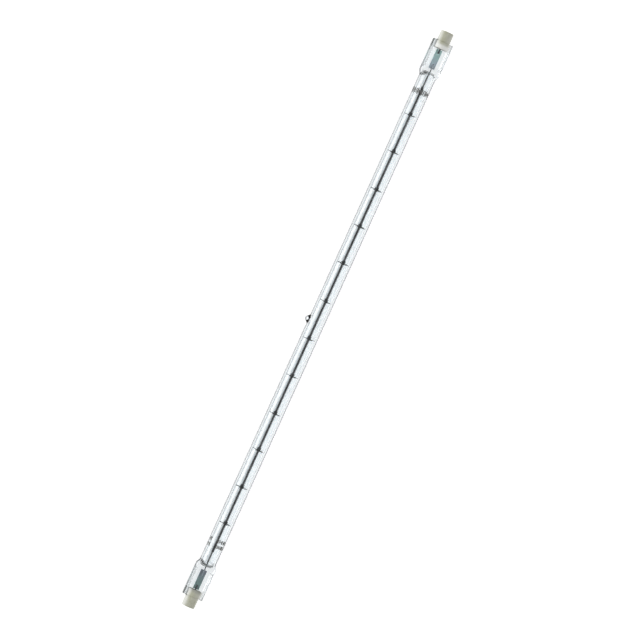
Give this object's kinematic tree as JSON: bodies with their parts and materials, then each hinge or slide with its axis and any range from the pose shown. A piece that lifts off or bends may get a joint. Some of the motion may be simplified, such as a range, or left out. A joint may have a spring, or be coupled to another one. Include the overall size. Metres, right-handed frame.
{
  "type": "linear halogen bulb",
  "caption": "Double-ended linear halogen bulb: a clear quartz tube with flat press seals, a coiled filament on wire supports, and ceramic end caps with recessed contacts.",
  "frame": {"origin": "centre of the lamp, on the axis of the tube", "axes": "+X along the tube to end a, +Y the side of the exhaust tip, +Z square to the flat press seals, up as the lamp lies on its tube"},
  "size_m": [0.3308, 0.0121, 0.0092],
  "materials": {
    "quartz": "clear, fire polished",
    "tungsten": "dark drawn wire",
    "molybdenum": "rolled, slightly blue",
    "ceramic": "matt, unglazed steatite",
    "contact_metal": "turned nickel",
    "cement": "rough, matt"
  },
  "bodies": {
    "root": {"quartz_envelope": "quartz", "filament_coil": "tungsten", "filament_support_01": "tungsten", "filament_support_02": "tungsten", "filament_support_03": "tungsten", "filament_support_04": "tungsten", "filament_support_05": "tungsten", "filament_support_06": "tungsten", "filament_support_07": "tungsten", "filament_support_08": "tungsten", "filament_support_09": "tungsten", "filament_support_10": "tungsten", "filament_support_11": "tungsten", "filament_support_12": "tungsten", "inner_lead_a": "tungsten", "inner_lead_b": "tungsten", "outer_lead_a": "molybdenum", "outer_lead_b": "molybdenum", "molybdenum_foil_a": "molybdenum", "molybdenum_foil_b": "molybdenum", "ceramic_cap_a": "ceramic", "ceramic_cap_b": "ceramic", "contact_a": "contact_metal", "contact_b": "contact_metal", "cap_cement_a": "cement", "cap_cement_b": "cement"}
  },
  "joints": []
}
